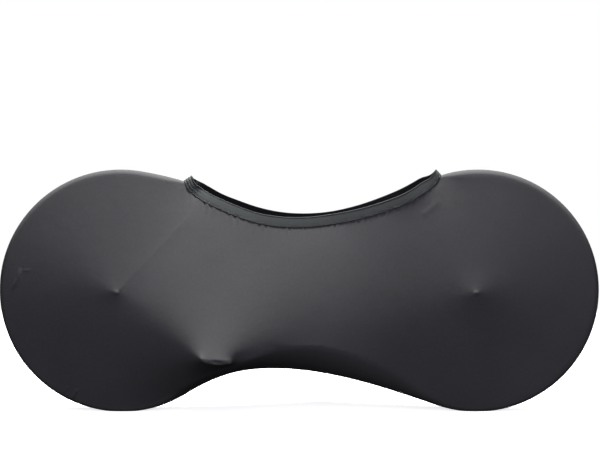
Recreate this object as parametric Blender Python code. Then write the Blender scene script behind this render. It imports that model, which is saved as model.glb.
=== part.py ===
"""A stretch cover with two round lobes, in the shape that it has when it is pulled on.

The cloth is tight over the rims of the lobes, over a nub in the middle of each lobe and over one
bulge on each side, and free between them. It is two side panels, sewn together along the middle
plane, and an elastic band round the mouth on top. All sizes are in metres. +Z is up, +X points
to the front lobe and -Y to the near side, whose bulge is low. The origin is on the floor,
midway between the two lobes.
"""

import math

import bpy
import numpy as np
from mathutils import Vector
from mathutils.geometry import delaunay_2d_cdt

# Driving sizes of the two round lobes, measured on the cloth's outer face.
LOBE_SPACING = 0.990
LOBE_RADIUS = 0.3385
LOBE_RIM_RADIUS = 0.0145
FLOOR_SINK = 0.0022  # each lobe is this much flatter where it stands
LOBE_HEIGHT = LOBE_RADIUS - FLOOR_SINK

# The cloth and the elastic.
CLOTH_THICK = 0.0015
BAND_THICK = 0.0020
BAND_WIDTH = 0.030
BAND_WIDTH_REAR_END = 0.027
BAND_WIDTH_FRONT_END = 0.022
BAND_BOW = 0.0012  # the band is this much prouder in the middle of its width
HEM_UNDER_BAND = 0.008
SEWN_GAP = 0.0003  # between pieces that are sewn to each other

# The outline in the side view, where it leaves the lobes' circles. Angles are in degrees about
# the lobe's centre, from +X towards +Z. Handles are the lengths of the curve's control arms.
FRONT_NOTCH_ANGLE = 107.5
FRONT_LEAVES_ANGLE = -106.8
REAR_LEAVES_ANGLE = -57.8
REAR_RISES_ANGLE = 80.0
BELLY_TOP = (-0.065, 0.120)  # the highest point of the lower edge, between the lobes
BELLY_HANDLES = {"front": 0.074, "top_front": 0.178, "top_rear": 0.055, "rear": 0.136}
MOUTH_REAR_CORNER = (-0.3204, 0.6427)
MOUTH_REAR_SLOPE = -17.0

# How round the turned edge is at the mouth's two ends.
EDGE_RADIUS_MOUTH = 0.010
EDGE_ANGLES = (0, 16, 32, 48, 64, 80)  # steps round the turned edge, from the seam to the side
MOUTH_CORNER_LENGTH = 0.060

# Between the lobes the cloth turns under in a wide round hollow. One row for each place along
# it, from front to rear: how far the turn stands out from the middle plane, and its height.
TURN_ROWS = [
    {"x": 0.420, "near_out": 0.0145, "near_up": 0.0145, "far_out": 0.0145, "far_up": 0.0145},
    {"x": 0.330, "near_out": 0.0300, "near_up": 0.0320, "far_out": 0.0260, "far_up": 0.0260},
    {"x": 0.240, "near_out": 0.0500, "near_up": 0.0540, "far_out": 0.0420, "far_up": 0.0400},
    {"x": 0.140, "near_out": 0.0680, "near_up": 0.0680, "far_out": 0.0600, "far_up": 0.0500},
    {"x": 0.040, "near_out": 0.0840, "near_up": 0.0740, "far_out": 0.0700, "far_up": 0.0540},
    {"x": -0.065, "near_out": 0.0960, "near_up": 0.0720, "far_out": 0.0680, "far_up": 0.0520},
    {"x": -0.150, "near_out": 0.1020, "near_up": 0.0400, "far_out": 0.0580, "far_up": 0.0460},
    {"x": -0.220, "near_out": 0.1000, "near_up": 0.0350, "far_out": 0.0450, "far_up": 0.0380},
    {"x": -0.280, "near_out": 0.0750, "near_up": 0.0350, "far_out": 0.0280, "far_up": 0.0260},
    {"x": -0.340, "near_out": 0.0300, "near_up": 0.0280, "far_out": 0.0145, "far_up": 0.0145},
    {"x": -0.400, "near_out": 0.0145, "near_up": 0.0145, "far_out": 0.0145, "far_up": 0.0145},
]
TURN_SMOOTHING = 0.0012  # in square metres
TURN_POWER = {"rim": 2.0, "hollow": 1.5}  # 2 turns in a round, and less is straighter
TURN_FULL = 0.045  # a turn that stands out this far is all hollow

# The lower edge of the band from rear to front, one row for each place: x, then the height and
# the distance from the middle plane on the near (-Y) and the far (+Y) side.
MOUTH_ROWS = [
    {"x": -0.3120, "near_z": 0.6251, "near_y": 0.012, "far_z": 0.6325, "far_y": 0.012},
    {"x": -0.2933, "near_z": 0.6058, "near_y": 0.014, "far_z": 0.6195, "far_y": 0.012},
    {"x": -0.2645, "near_z": 0.5860, "near_y": 0.021, "far_z": 0.6015, "far_y": 0.018},
    {"x": -0.2277, "near_z": 0.5684, "near_y": 0.028, "far_z": 0.5805, "far_y": 0.025},
    {"x": -0.1801, "near_z": 0.5483, "near_y": 0.034, "far_z": 0.5608, "far_y": 0.031},
    {"x": -0.1192, "near_z": 0.5280, "near_y": 0.038, "far_z": 0.5398, "far_y": 0.034},
    {"x": -0.0505, "near_z": 0.5170, "near_y": 0.036, "far_z": 0.5257, "far_y": 0.034},
    {"x": 0.0180, "near_z": 0.5155, "near_y": 0.032, "far_z": 0.5220, "far_y": 0.033},
    {"x": 0.0866, "near_z": 0.5229, "near_y": 0.029, "far_z": 0.5272, "far_y": 0.030},
    {"x": 0.1637, "near_z": 0.5375, "near_y": 0.030, "far_z": 0.5439, "far_y": 0.030},
    {"x": 0.2405, "near_z": 0.5594, "near_y": 0.031, "far_z": 0.5698, "far_y": 0.031},
    {"x": 0.3062, "near_z": 0.5853, "near_y": 0.029, "far_z": 0.5985, "far_y": 0.029},
    {"x": 0.3501, "near_z": 0.6123, "near_y": 0.022, "far_z": 0.6241, "far_y": 0.022},
    {"x": 0.3806, "near_z": 0.6382, "near_y": 0.012, "far_z": 0.6442, "far_y": 0.012},
]
MOUTH_STEP = 0.020
MOUTH_END_RUN = {"rear": -60.0, "front": 236.0}  # the way that the lower edge leaves each corner
BAND_END_RISE = {"rear": 33.0, "front": 134.0}  # the way that the band stands up at each end
BAND_LEAN = {"rear": 14.0, "front": 4.0}  # how far its top leans in over the mouth, in degrees

# What pushes the cloth out on each side: where, how far from the middle plane, and how wide.
NUBS = {
    "near": [
        {"x": -0.5025, "z": 0.3400, "y": 0.070, "radius": 0.0085},
        {"x": 0.4885, "z": 0.3360, "y": 0.045, "radius": 0.0080},
    ],
    "far": [
        {"x": -0.4950, "z": 0.3370, "y": 0.068, "radius": 0.0085},
        {"x": 0.4950, "z": 0.3370, "y": 0.050, "radius": 0.0080},
    ],
}
# The lowest and highest edge of each bulge, from its pointed end, and how far it stands out.
BULGES = {
    "near": [
        {"x": -0.2655, "low": 0.1630, "high": 0.1700, "y": 0.1550},
        {"x": -0.2520, "low": 0.1570, "high": 0.1670, "y": 0.1540},
        {"x": -0.2370, "low": 0.1540, "high": 0.1665, "y": 0.1530},
        {"x": -0.2220, "low": 0.1515, "high": 0.1665, "y": 0.1520},
        {"x": -0.2080, "low": 0.1525, "high": 0.1650, "y": 0.1485},
        {"x": -0.1960, "low": 0.1530, "high": 0.1635, "y": 0.1440},
        {"x": -0.1860, "low": 0.1540, "high": 0.1625, "y": 0.1370},
    ],
    "far": [
        {"x": 0.0820, "low": 0.3700, "high": 0.3780, "y": 0.1550},
        {"x": 0.0660, "low": 0.3640, "high": 0.3770, "y": 0.1540},
        {"x": 0.0500, "low": 0.3610, "high": 0.3765, "y": 0.1530},
        {"x": 0.0340, "low": 0.3600, "high": 0.3765, "y": 0.1520},
        {"x": 0.0180, "low": 0.3620, "high": 0.3760, "y": 0.1500},
        {"x": 0.0030, "low": 0.3650, "high": 0.3740, "y": 0.1460},
    ],
}
BULGE_LEAN = 0.06  # how far a bulge leans back for each unit of its height
BULGE_STEP = 0.011
BULGE_LINES = 3  # lines of points along a bulge, from its lowest to its highest edge
NUB_ROUND = 0.0015  # how much less a nub's edge stands out than its middle
NUB_POINTS = 10
# A taut fold runs from the rear nub to this place on the mouth's lower edge.
FOLD_TO_MOUTH = {"near": -0.268, "far": -0.268}
FOLD_PULL = 0.012
EVEN_PULL = 0.003  # the cloth's pull where it lies flat, next to what its slope adds
STIFFENING = 2.0  # how fast the pull grows with the slope
LENGTHWISE = 1.3  # how much harder the cloth pulls along the cover than up and down

# Mesh sizes.
OUTLINE_STEP = 0.024
CLOTH_STEP = 0.040
HELD_RINGS = (0.008, 0.014, 0.024)  # how far rings of the cloth's points lie from what holds it
RING_POINTS = 12
RING_APART = 0.62  # the points' least spacing, as a share of the ring's distance
GRID_APART = 0.80  # the same for the grid between the rings, as a share of CLOTH_STEP
HELD_SHARE = 0.80  # of that spacing, what two of the cloth's points keep
EDGE_SHARE = 0.55  # of that spacing, what a point keeps from the edge
FOLD_STEP = 0.028
FOLD_FIRST = 0.020  # from the nub to the taut fold's first own point
FIRST_STAND = 0.05  # where the free points start before the cloth is pulled tight
PULL_ROUNDS = 30
SHARP_ANGLE = math.radians(45)  # the cloth's edges stay sharp, and the rest is shaded smooth


def direction(degrees):
    """The unit vector in the side view (x, z) at this angle from +X towards +Z."""
    return np.array([math.cos(math.radians(degrees)), math.sin(math.radians(degrees))])


def smooth_step(share):
    share = np.clip(share, 0.0, 1.0)
    return share * share * (3 - 2 * share)


def arc(centre, first, last):
    """Points every OUTLINE_STEP along a lobe's circle between two angles."""
    count = max(2, round(abs(math.radians(last - first)) * LOBE_RADIUS / OUTLINE_STEP))
    angles = np.linspace(first, last, count + 1)
    return [centre + LOBE_RADIUS * direction(a) for a in angles]


def bezier(start, start_arm, end_arm, end):
    """Points every OUTLINE_STEP along a cubic curve with these control arms."""
    count = max(2, round(np.linalg.norm(np.subtract(end, start)) / OUTLINE_STEP))
    t = np.linspace(0, 1, count + 1)[:, None]
    points = (
        (1 - t) ** 3 * start
        + 3 * (1 - t) ** 2 * t * (start + start_arm)
        + 3 * (1 - t) * t**2 * (end + end_arm)
        + t**3 * end
    )
    return list(points)


def through(knots, step):
    """Points about every step along a smooth curve through the knots, both ends included."""
    knots = np.asarray(knots, float)
    lengths = np.linalg.norm(np.diff(knots, axis=0), axis=1)
    place = np.r_[0, np.cumsum(lengths)]
    slopes = np.gradient(knots, place, axis=0)
    count = max(2, round(place[-1] / step))
    found = []
    for at in np.linspace(0, place[-1], count + 1):
        i = min(np.searchsorted(place, at, side="right") - 1, len(lengths) - 1)
        t = (at - place[i]) / lengths[i]
        found.append(
            (2 * t**3 - 3 * t**2 + 1) * knots[i]
            + (t**3 - 2 * t**2 + t) * lengths[i] * slopes[i]
            + (3 * t**2 - 2 * t**3) * knots[i + 1]
            + (t**3 - t**2) * lengths[i] * slopes[i + 1]
        )
    return np.array(found)


def outline(side):
    """The seam in the side view, clockwise from the mouth's front corner to its rear corner.

    Each station has its point, the way in from it along the cloth, and how far the turned edge
    stands out and reaches in.
    """
    front = np.array([LOBE_SPACING / 2, LOBE_HEIGHT])
    rear = np.array([-LOBE_SPACING / 2, LOBE_HEIGHT])
    belly = np.array(BELLY_TOP)
    corner = np.array(MOUTH_REAR_CORNER)
    level = np.array([1.0, 0.0])

    over_front = arc(front, FRONT_NOTCH_ANGLE, FRONT_LEAVES_ANGLE)
    over_rear = arc(rear, REAR_LEAVES_ANGLE, REAR_RISES_ANGLE - 360)
    front_run = direction(FRONT_LEAVES_ANGLE - 90) * BELLY_HANDLES["front"]
    rear_run = direction(REAR_LEAVES_ANGLE + 90) * BELLY_HANDLES["rear"]
    belly_front = bezier(over_front[-1], front_run, level * BELLY_HANDLES["top_front"], belly)
    belly_rear = bezier(belly, -level * BELLY_HANDLES["top_rear"], rear_run, over_rear[0])
    rise_arm = np.linalg.norm(corner - over_rear[-1]) / 3
    rise = bezier(
        over_rear[-1],
        direction(REAR_RISES_ANGLE - 90) * rise_arm,
        -direction(MOUTH_REAR_SLOPE) * rise_arm,
        corner,
    )
    points = np.array(over_front + belly_front[1:] + belly_rear[1:] + over_rear[1:] + rise[1:])

    run = np.gradient(points, axis=0)
    run /= np.linalg.norm(run, axis=1)[:, None]
    inward = np.c_[run[:, 1], -run[:, 0]]  # the outline runs clockwise
    travelled = np.r_[0, np.cumsum(np.linalg.norm(np.diff(points, axis=0), axis=1))]
    to_front_corner = smooth_step(1 - travelled / MOUTH_CORNER_LENGTH)
    to_rear_corner = smooth_step(1 - (travelled[-1] - travelled) / MOUTH_CORNER_LENGTH)
    to_corner = np.maximum(to_front_corner, to_rear_corner)
    below = (points[:, 1] < LOBE_HEIGHT) & (np.abs(points[:, 0]) < LOBE_SPACING / 2)
    turns = []
    for measure in ("_out", "_up"):
        rows = [(row["x"], row[side + measure]) for row in reversed(TURN_ROWS)]
        turn = np.where(below, np.interp(points[:, 0], *zip(*rows)), LOBE_RIM_RADIUS)
        for _ in range(round(TURN_SMOOTHING / OUTLINE_STEP**2)):
            turn[1:-1] += 0.25 * (turn[2:] - 2 * turn[1:-1] + turn[:-2])
        turns.append(turn + (EDGE_RADIUS_MOUTH - turn) * to_corner)
    for share, end in ((to_front_corner, "front"), (to_rear_corner, "rear")):
        inward += (direction(MOUTH_END_RUN[end]) - inward) * share[:, None]
    inward /= np.linalg.norm(inward, axis=1)[:, None]
    return points, inward, *turns


def folded_edge(points, inward, out, up):
    """Rings of (x, stand-off, z) from the seam round the turned edge to the flat side."""
    rings = []
    share = smooth_step((out - LOBE_RIM_RADIUS) / (TURN_FULL - LOBE_RIM_RADIUS))
    bend = 2 / (TURN_POWER["rim"] + (TURN_POWER["hollow"] - TURN_POWER["rim"]) * share)
    for degrees in EDGE_ANGLES:
        angle = math.radians(degrees)
        place = points + inward * (up * (1 - math.cos(angle) ** bend))[:, None]
        stand = out * math.sin(angle) ** bend + SEWN_GAP / 2
        rings.append(np.c_[place[:, 0], stand, place[:, 1]])
    return np.array(rings)


def mouth_edge(side, rings):
    """The band's lower edge as (x, stand-off, z) from the rear corner to the front corner."""
    rows = [(row["x"], row[side + "_y"], row[side + "_z"]) for row in MOUTH_ROWS]
    knots = [rings[-1][-1], *rows, rings[-1][0]]
    middle = through(knots, MOUTH_STEP)
    return np.r_[rings[:-1, -1], middle, rings[-2::-1, 0]]


def band_rise(edge):
    """For each point of the band's lower edge, the way up across the band's width, and the width."""
    run = np.gradient(edge, axis=0)
    across = np.c_[-run[:, 2], np.zeros(len(run)), run[:, 0]]
    across /= np.linalg.norm(across, axis=1)[:, None]
    travelled = np.r_[0, np.cumsum(np.linalg.norm(np.diff(edge, axis=0), axis=1))]
    to_rear = smooth_step(1 - (travelled - EDGE_RADIUS_MOUTH) / MOUTH_CORNER_LENGTH)
    to_front = smooth_step(1 - (travelled[-1] - travelled - EDGE_RADIUS_MOUTH) / MOUTH_CORNER_LENGTH)
    share = smooth_step(travelled / travelled[-1])
    lean = BAND_LEAN["rear"] + (BAND_LEAN["front"] - BAND_LEAN["rear"]) * share
    lean = np.radians(lean) * (1 - np.maximum(to_rear, to_front))
    rise = across * np.cos(lean)[:, None] - np.outer(np.sin(lean), [0, 1, 0])
    width = np.full(len(edge), BAND_WIDTH)
    ends = ((to_rear, "rear", BAND_WIDTH_REAR_END), (to_front, "front", BAND_WIDTH_FRONT_END))
    for share, end, end_width in ends:
        x, z = direction(BAND_END_RISE[end])
        rise += (np.array([x, 0, z]) - rise) * share[:, None]
        width += (end_width - width) * share
    return rise / np.linalg.norm(rise, axis=1)[:, None], width


def mouth_place(edge, x):
    """The number of the lower edge's station nearest to this x."""
    return int(np.argmin(np.abs(edge[:, 0] - x)))


def supports(side):
    """The points of cloth that are held out from inside, as (x, stand-off, z), in groups."""
    groups = []
    for nub in NUBS[side]:
        centre = np.array([nub["x"], nub["y"], nub["z"]])
        ring = [centre]
        for turn in np.linspace(0, 360, NUB_POINTS, endpoint=False):
            x, z = direction(turn) * nub["radius"]
            ring.append(centre + [x, -NUB_ROUND, z])
        groups.append(ring)
    rows = [[row[name] for name in ("x", "low", "high", "y")] for row in BULGES[side]]
    face = []
    for x, low, high, y in through(rows, BULGE_STEP):
        for z in np.linspace(low, high, BULGE_LINES):
            face.append([x, y - BULGE_LEAN * (z - low), z])
    groups.append(face)
    return groups


def free_points(boundary, held, fold, bulge):
    """Places in the side view for the cloth's own points: finer rings near what holds it out.

    The bulge is given by its outline, and none of these points lie in it.
    """
    found = []

    def add(point, apart):
        if not inside(boundary, point) or inside(bulge, point):
            return
        near_edge = np.linalg.norm(boundary - point, axis=1).min()
        near_held = np.linalg.norm(held - point, axis=1).min()
        near_found = min((math.dist(point, p) for p in found), default=1.0)
        if near_edge > EDGE_SHARE * apart and min(near_held, near_found) > HELD_SHARE * apart:
            found.append(tuple(point))

    found.extend(map(tuple, fold))
    for away in HELD_RINGS:
        for centre in held:
            for turn in np.linspace(0, 360, RING_POINTS, endpoint=False):
                add(centre + direction(turn) * away, away * RING_APART)
    row_step = CLOTH_STEP * math.sqrt(3) / 2
    low, high = boundary.min(0), boundary.max(0)
    for row in range(int((high[1] - low[1]) / row_step) + 1):
        for column in range(int((high[0] - low[0]) / CLOTH_STEP) + 2):
            shift = CLOTH_STEP / 2 * (row % 2)
            place = low + [column * CLOTH_STEP - shift, row * row_step]
            add(place, CLOTH_STEP * GRID_APART)
    return np.array(found)


def inside(polygon, point):
    """Whether a point lies in a closed polygon, by counting the sides that a level ray crosses."""
    a, b = polygon, np.roll(polygon, -1, axis=0)
    crosses = (a[:, 1] > point[1]) != (b[:, 1] > point[1])
    with np.errstate(divide="ignore", invalid="ignore"):
        at = a[:, 0] + (point[1] - a[:, 1]) / (b[:, 1] - a[:, 1]) * (b[:, 0] - a[:, 0])
    return bool((crosses & (at > point[0])).sum() % 2)


def settle(flat, triangles, stand, fixed, fold_pairs):
    """The stand-off of each free point of the stretched cloth.

    The cloth pulls harder where it is stretched more, so each triangle's pull grows with its
    slope. That gives the straight-sided tents that stretch cloth makes over a nub.
    """
    corners = flat[triangles]
    sides = corners[:, [2, 0, 1]] - corners[:, [1, 2, 0]]
    area = 0.5 * np.abs(
        sides[:, 0, 0] * sides[:, 1, 1] - sides[:, 0, 1] * sides[:, 1, 0]
    )
    gradients = np.stack([-sides[..., 1], sides[..., 0]], -1) / (2 * area)[:, None, None]
    gradients *= [math.sqrt(LENGTHWISE), 1]
    products = np.einsum("tik,tjk->tij", gradients, gradients)
    free = ~fixed
    for _ in range(PULL_ROUNDS):
        slope = np.linalg.norm(np.einsum("tik,ti->tk", gradients, stand[triangles]), axis=1)
        pull = EVEN_PULL + slope**STIFFENING
        stiffness = np.zeros((len(flat), len(flat)))
        for i in range(3):
            for j in range(3):
                np.add.at(
                    stiffness,
                    (triangles[:, i], triangles[:, j]),
                    pull * area * products[:, i, j],
                )
        for a, b in fold_pairs:
            length = np.linalg.norm(flat[a] - flat[b])
            stiffness[[a, b], [a, b]] += FOLD_PULL / length
            stiffness[[a, b], [b, a]] -= FOLD_PULL / length
        load = -stiffness[np.ix_(free, fixed)] @ stand[fixed]
        found = np.linalg.solve(stiffness[np.ix_(free, free)], load)
        stand = stand.copy()
        stand[free] = 0.5 * stand[free] + 0.5 * found
    return stand


def panel_surface(side):
    """The outer face of one side panel: its points (x, stand-off, z) and its faces."""
    points, inward, out, up = outline(side)
    rings = folded_edge(points, inward, out, up)
    edge = mouth_edge(side, rings)
    rise, _ = band_rise(edge)
    hem = edge + rise * HEM_UNDER_BAND

    # The turned edge, ring by ring.
    stations = len(points)
    vertices = [tuple(p) for ring in rings for p in ring]
    faces = []
    for ring in range(len(rings) - 1):
        for j in range(stations - 1):
            a = ring * stations + j
            faces.append((a, a + stations, a + 1 + stations, a + 1))

    # The mouth's edge shares its first and last points with the ends of the rings.
    steps = len(rings)
    edge_index = [ring * stations + stations - 1 for ring in range(steps)]
    for point in edge[steps : len(edge) - steps]:
        edge_index.append(len(vertices))
        vertices.append(tuple(point))
    edge_index += [ring * stations for ring in reversed(range(steps))]

    # The flat side: its border, what holds it out, the taut fold and the free points.
    border = [(steps - 1) * stations + j for j in range(stations)]
    border += edge_index[steps : len(edge) - steps]
    known = np.array(vertices)
    boundary = known[border][:, [0, 2]]
    groups = supports(side)
    held = np.array([p for group in groups for p in group])
    rear_nub = np.array(groups[0][0])
    fold_end = edge_index[mouth_place(edge, FOLD_TO_MOUTH[side])]
    fold_start = rear_nub[[0, 2]]
    way = known[fold_end][[0, 2]] - fold_start
    reach = np.linalg.norm(way)
    shares = np.linspace(FOLD_FIRST / reach, 1, round(reach / FOLD_STEP), endpoint=False)
    fold = [fold_start + way * share for share in shares]
    lines = np.array(groups[-1]).reshape(-1, BULGE_LINES, 3)
    bulge = np.r_[lines[:, 0], lines[::-1, -1]][:, [0, 2]]
    free = free_points(boundary, held[:, [0, 2]], fold, bulge)

    flat = np.r_[boundary, held[:, [0, 2]], free]
    count = len(boundary)
    loop = [(i, (i + 1) % count) for i in range(count)]
    result = delaunay_2d_cdt([Vector(p) for p in flat], loop, [], 1, 1e-6)
    if len(result[0]) != len(flat):
        raise ValueError("two points of the cloth fell together")
    triangles = np.array(result[2])

    stand = np.r_[known[border][:, 1], held[:, 1], np.full(len(free), FIRST_STAND)]
    fixed = np.r_[np.ones(count + len(held), bool), np.zeros(len(free), bool)]
    fold_points = list(range(count + len(held), count + len(held) + len(fold)))
    fold_points = [count, *fold_points, border.index(fold_end)]
    pairs = list(zip(fold_points[:-1], fold_points[1:]))
    stand = settle(flat, triangles, stand, fixed, pairs)

    own = list(border)
    for place, out in zip(flat[count:], stand[count:]):
        own.append(len(vertices))
        vertices.append((place[0], out, place[1]))
    faces += [tuple(own[i] for i in triangle) for triangle in triangles]

    # The hem that runs up under the band.
    hem_index = []
    for point in hem:
        hem_index.append(len(vertices))
        vertices.append(tuple(point))
    for i in range(len(edge_index) - 1):
        faces.append((edge_index[i], edge_index[i + 1], hem_index[i + 1], hem_index[i]))
    return np.array(vertices), faces, edge


def thicken(vertices, faces, thick):
    """The surface as the outer face of a closed sheet, with its inner face and its edges."""
    vertices = np.array(vertices)
    corners = []
    for face in faces:
        corners += zip(face[-1:] + face[:-1], face, face[1:] + face[:1])
    before, here, after = (vertices[list(row)] for row in zip(*corners))
    turned = np.cross(after - here, before - here)
    normals = np.zeros_like(vertices)
    np.add.at(normals, [corner[1] for corner in corners], turned)
    on_seam = np.abs(vertices[:, 1]) < 0.6 * SEWN_GAP
    normals[on_seam, 1] = 0  # the seam's edges stay parallel to the middle plane
    normals /= np.linalg.norm(normals, axis=1)[:, None]
    inner = vertices - normals * thick

    count = len(vertices)
    sides = {(face[i - 1], face[i]) for face in faces for i in range(len(face))}
    closed = list(faces)
    closed += [tuple(i + count for i in reversed(face)) for face in faces]
    closed += [(b, a, a + count, b + count) for a, b in sorted(sides) if (b, a) not in sides]
    return np.r_[vertices, inner], closed


def build_object(name, vertices, faces, thick, material):
    """An object with this surface as its outer face and the cloth's thickness inside it."""
    vertices, faces = thicken(vertices, faces, thick)
    mesh = bpy.data.meshes.new(name)
    mesh.from_pydata([tuple(v) for v in vertices], [], faces)
    mesh.validate()
    mesh.shade_smooth()
    mesh.set_sharp_from_angle(angle=SHARP_ANGLE)
    mesh.materials.append(material)
    obj = bpy.data.objects.new(name, mesh)
    bpy.context.scene.collection.objects.link(obj)
    return obj


def build_panel(name, side, material):
    """One side panel. The near panel is built at -Y and the far one at +Y."""
    vertices, faces, edge = panel_surface(side)
    sign = -1 if side == "near" else 1
    placed = vertices * [1, sign, 1]
    placed[:, 2] = np.maximum(placed[:, 2], 0)  # the lobes stand flat on the floor
    if side == "far":
        faces = [tuple(reversed(face)) for face in faces]
    return build_object(name, placed, faces, CLOTH_THICK, material), edge


def build_band(near, far, material):
    """The elastic band: one closed strip round the mouth, over the panels' hems."""
    near_rise, near_width = band_rise(near)
    far_rise, far_width = band_rise(far)
    near_edge, far_edge = near * [1, -1, 1], far.copy()
    near_rise = near_rise * [1, -1, 1]
    # The two sides meet on the middle plane, so one of each pair of end stations is dropped.
    loop = np.r_[near_edge, far_edge[-2:0:-1]]
    rise = np.r_[near_rise, far_rise[-2:0:-1]]
    width = np.r_[near_width, far_width[-2:0:-1]]
    loop[[0, len(near) - 1], 1] = 0
    run = np.roll(loop, -1, axis=0) - np.roll(loop, 1, axis=0)
    out = np.cross(run, rise)
    out /= np.linalg.norm(out, axis=1)[:, None]

    shares = np.linspace(0, 1, 5)
    vertices = []
    for share in shares:
        bow = BAND_BOW * 4 * share * (1 - share)
        start = SEWN_GAP + share * (width - SEWN_GAP)
        proud = SEWN_GAP + BAND_THICK + bow
        vertices.extend(loop + rise * start[:, None] + out * proud)
    count = len(loop)
    faces = []
    for row in range(len(shares) - 1):
        for i in range(count):
            j = (i + 1) % count
            a, b = row * count, (row + 1) * count
            faces.append((a + i, a + j, b + j, b + i))
    return build_object("elastic_band", vertices, faces, BAND_THICK, material)


def cloth_material(name, colour, roughness):
    material = bpy.data.materials.new(name)
    material.use_nodes = True
    shader = material.node_tree.nodes["Principled BSDF"]
    shader.inputs["Base Color"].default_value = (*colour, 1)
    shader.inputs["Roughness"].default_value = roughness
    shader.inputs["Metallic"].default_value = 0
    return material


def main():
    for obj in list(bpy.data.objects):
        bpy.data.objects.remove(obj)
    cloth = cloth_material("stretch_cloth", (0.030, 0.030, 0.032), 0.75)
    elastic = cloth_material("elastic_webbing", (0.035, 0.041, 0.042), 0.65)
    _, near_edge = build_panel("near_side_panel", "near", cloth)
    _, far_edge = build_panel("far_side_panel", "far", cloth)
    build_band(near_edge, far_edge, elastic)


main()
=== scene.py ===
"""The looks of a black stretch cover with two round lobes and an elastic band round its mouth.

The cloth of each side is a fine sheet, stretched here over the same rims, nubs and bulges as its
solid. The band is a ribbed elastic over the cloth's hem, sewn on with two rows of stitches, and
an overlocked seam runs round the outline. All sizes are in metres, +Z is up, +X points to the
front lobe and -Y to the near side.
"""

import math

import bpy
import numpy as np
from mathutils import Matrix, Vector
from mathutils.geometry import delaunay_2d_cdt


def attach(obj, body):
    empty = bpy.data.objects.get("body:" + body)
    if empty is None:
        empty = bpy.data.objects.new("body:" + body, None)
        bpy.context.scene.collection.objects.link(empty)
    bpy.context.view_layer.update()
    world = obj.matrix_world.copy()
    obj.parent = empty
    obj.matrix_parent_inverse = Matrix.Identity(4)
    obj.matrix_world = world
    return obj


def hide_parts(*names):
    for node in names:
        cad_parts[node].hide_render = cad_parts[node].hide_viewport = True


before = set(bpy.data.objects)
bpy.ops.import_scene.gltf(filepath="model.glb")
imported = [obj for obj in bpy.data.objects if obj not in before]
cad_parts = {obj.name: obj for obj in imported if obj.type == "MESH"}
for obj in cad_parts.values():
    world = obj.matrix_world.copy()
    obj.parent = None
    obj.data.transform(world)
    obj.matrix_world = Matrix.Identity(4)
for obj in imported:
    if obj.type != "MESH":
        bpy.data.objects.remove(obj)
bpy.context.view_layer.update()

# The two round lobes, measured on the cloth's outer face.
LOBE_SPACING = 0.990
LOBE_RADIUS = 0.3385
LOBE_RIM_RADIUS = 0.0145
FLOOR_SINK = 0.0022
LOBE_HEIGHT = LOBE_RADIUS - FLOOR_SINK

# The cloth and the elastic.
CLOTH_THICK = 0.0009
HEM_ROWS = (0.004, 0.008)  # how far up under the band the hem's two rows of points reach
SEWN_GAP = 0.0003
BAND_THICK = 0.0010
BAND_WIDTH = 0.030
BAND_WIDTH_REAR_END = 0.027
BAND_WIDTH_FRONT_END = 0.022
BAND_BOW = 0.0004  # how far the middle of the band's width stands out
BAND_GATHER = 0.0006  # how deep the gathers along the band are at its rear end
BAND_GATHER_LENGTH = 0.035
BAND_GATHERS = 3.5
BAND_WAVES = (23, 37, 58, 91, 120)  # how many of each small wave go round the band
BAND_RIPPLE = {"lower_edge": 0.00011, "upper_edge": 0.00006}
BAND_RIPPLE_SHIFT = 40  # how many points the upper edge's waves lie behind the lower edge's
BAND_SEED = 7

# The relief of the band's outer side. Places and widths are shares of the band's width, from its
# lower edge up, and heights are shares of its thickness.
STITCH_ROWS = (0.085, 0.215)
BAND_SIDE = 0.02  # how much of the width each rounded side takes
BAND_RIBS = 9
BAND_POINTS_PER_RIB = 4
BAND_INNER_POINTS = 7
BAND_EDGE_HEIGHT = 0.35
BAND_FIELD_HEIGHT = 0.55
BAND_FIELD_FROM = 0.06
BAND_RIB_HEIGHT = 0.10
BAND_RELIEF = [
    {"place": 0.96, "width": 0.035, "height": 0.80},  # the roll along its upper edge
    {"place": STITCH_ROWS[0], "width": 0.020, "height": -0.15},
    {"place": STITCH_ROWS[1], "width": 0.020, "height": -0.15},
]

# The sewing.
STITCH_PITCH = 0.0042
STITCH_LENGTH = 0.0033
STITCH_STARTS = (0.0, 0.002)  # where each row's first stitch begins
STITCH_SEAT = 0.80  # how high on the band's thickness the stitches lie
STITCH_THICK = 0.00055
STITCH_ARCH = 0.0002
SEAM_PITCH = 0.0024
SEAM_HALF_WIDTH = 0.0022
SEAM_ENDS = 0.004
SEAM_SINK = 0.00015
SEAM_THICK = 0.0005
SEAM_ARCH = 0.0003
THREAD_SHARES = (0.0, 0.25, 0.5, 0.75, 1.0)
THREAD_SIDES = 5
THREAD_END = 0.45  # how thick a thread is where it goes into the cloth, next to its middle
THREAD_SWELL = 1.4  # how soon a thread has its full thickness
THREAD_OVER_FLOOR = 0.0001

# The outline in the side view, as the solids have it. Angles are in degrees about a lobe's
# centre, from +X towards +Z.
FRONT_NOTCH_ANGLE = 107.5
FRONT_LEAVES_ANGLE = -106.8
REAR_LEAVES_ANGLE = -57.8
REAR_RISES_ANGLE = 80.0
BELLY_TOP = (-0.065, 0.120)
BELLY_HANDLES = {"front": 0.074, "top_front": 0.178, "top_rear": 0.055, "rear": 0.136}
MOUTH_REAR_CORNER = (-0.3204, 0.6427)
MOUTH_REAR_SLOPE = -17.0
EDGE_RADIUS_MOUTH = 0.010
MOUTH_CORNER_LENGTH = 0.060

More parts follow.
